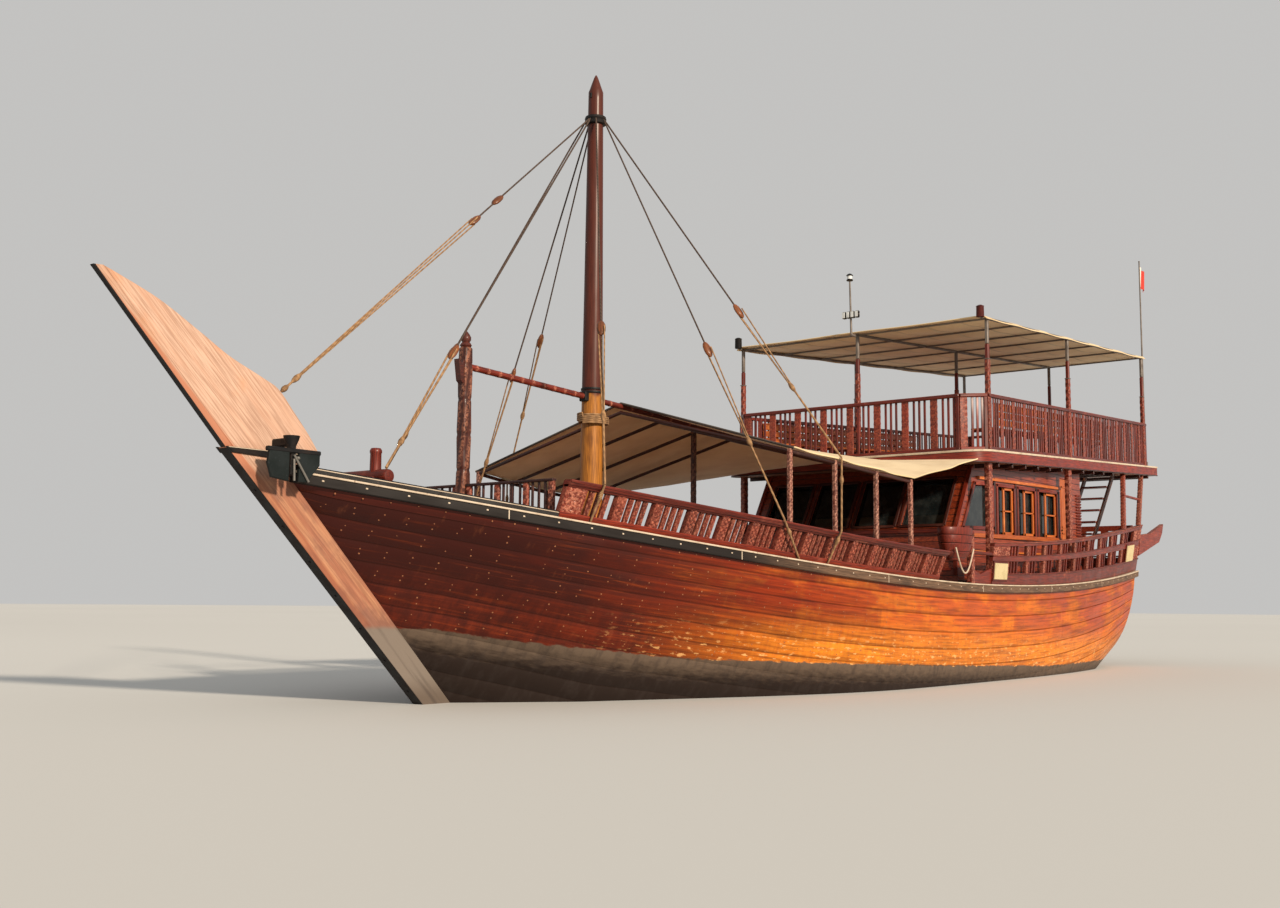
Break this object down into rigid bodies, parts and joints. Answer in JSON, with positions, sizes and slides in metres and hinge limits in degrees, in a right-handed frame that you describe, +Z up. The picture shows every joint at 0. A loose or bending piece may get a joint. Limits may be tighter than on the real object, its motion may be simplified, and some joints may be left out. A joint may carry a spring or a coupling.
{
  "type": "dhow sailing boat",
  "caption": "Planked wooden motor dhow with a raking stem, a pole mast, an awning over the open saloon, a glazed deckhouse and a canopied upper deck.",
  "frame": {"origin": "amidships on the centre line, at the waterline", "axes": "+X forward to the stem, +Y to port, +Z up"},
  "size_m": [23.96, 6.1265, 10.41],
  "materials": {
    "varnished_teak": "oiled and varnished teak, worn",
    "dark_teak": "dark varnished teak",
    "bare_wood": "weathered pale timber",
    "light_wood": "orange varnished timber",
    "cloth": "plain canvas",
    "flag_cloth": "plain bunting",
    "grey_metal": "painted pipe",
    "teal_paint": "dark green paint on iron",
    "bronze": "cast bronze",
    "window_glass": "clear window glass",
    "rope": "laid rope over wire"
  },
  "bodies": {
    "boat": {"hull": "varnished_teak", "bulwark_fore_port": "varnished_teak", "bulwark_fore_starboard": "varnished_teak", "bulwark_aft_port": "varnished_teak", "bulwark_aft_starboard": "varnished_teak", "stern_board": "varnished_teak", "quarter_wing_port": "varnished_teak", "quarter_wing_starboard": "varnished_teak", "upper_deck": "varnished_teak", "upper_rail_port": "varnished_teak", "upper_rail_starboard": "varnished_teak", "upper_rail_aft": "varnished_teak", "upper_rail_front": "varnished_teak", "deckhouse_port": "varnished_teak", "deckhouse_starboard": "varnished_teak", "deckhouse_front": "varnished_teak", "deckhouse_aft": "varnished_teak", "deck_post_port_1": "varnished_teak", "deck_post_port_2": "varnished_teak", "deck_post_starboard_1": "varnished_teak", "deck_post_starboard_2": "varnished_teak", "stern_struts_port": "varnished_teak", "stern_struts_starboard": "varnished_teak", "keel_and_sternpost": "dark_teak", "bow_cap_port": "dark_teak", "bow_cap_starboard": "dark_teak", "bow_post": "dark_teak", "mast": "dark_teak", "mast_partner": "dark_teak", "bow_spar": "dark_teak", "awning_ridge": "dark_teak", "awning_frame": "dark_teak", "awning_centre_post": "dark_teak", "ladder": "dark_teak", "foredeck_rail_port": "dark_teak", "foredeck_rail_starboard": "dark_teak", "stem": "bare_wood", "stem_head": "bare_wood", "rub_rail_port": "bare_wood", "rub_rail_starboard": "bare_wood", "bitt_log": "bare_wood", "gangway_panel": "light_wood", "bench_port": "light_wood", "bench_starboard": "light_wood", "awning_cloth": "cloth", "canopy_cloth": "cloth", "flag": "flag_cloth", "canopy_frame": "grey_metal", "flagpole": "grey_metal", "light_mast": "grey_metal", "anchor": "teal_paint", "deckhouse_glass_port": "window_glass", "deckhouse_glass_starboard": "window_glass", "deckhouse_glass_front": "window_glass", "deckhouse_glass_aft": "window_glass", "stays": "rope"},
    "rudder": {"rudder": "dark_teak"},
    "propeller": {"propeller": "bronze"},
    "door_port": {"deckhouse_door_port": "light_wood"},
    "door_starboard": {"deckhouse_door_starboard": "light_wood"}
  },
  "joints": [
    {"name": "rudder_turn", "type": "hinge", "parent": "boat", "child": "rudder", "pos_m": [-8.2428, 0, -1.64], "axis": [-0.347, 0, 0.9379], "range_deg": [-35, 35]},
    {"name": "propeller_spin", "type": "hinge", "parent": "boat", "child": "propeller", "pos_m": [-7.66, 0, -1.09], "axis": [1, 0, 0], "continuous": true},
    {"name": "door_port_swing", "type": "hinge", "parent": "boat", "child": "door_port", "pos_m": [-6.6, 2.02, 2.4], "axis": [0, 0, 1], "range_deg": [0, 90]},
    {"name": "door_starboard_swing", "type": "hinge", "parent": "boat", "child": "door_starboard", "pos_m": [-6.6, -2.02, 2.4], "axis": [0, 0, -1], "range_deg": [0, 90]}
  ]
}
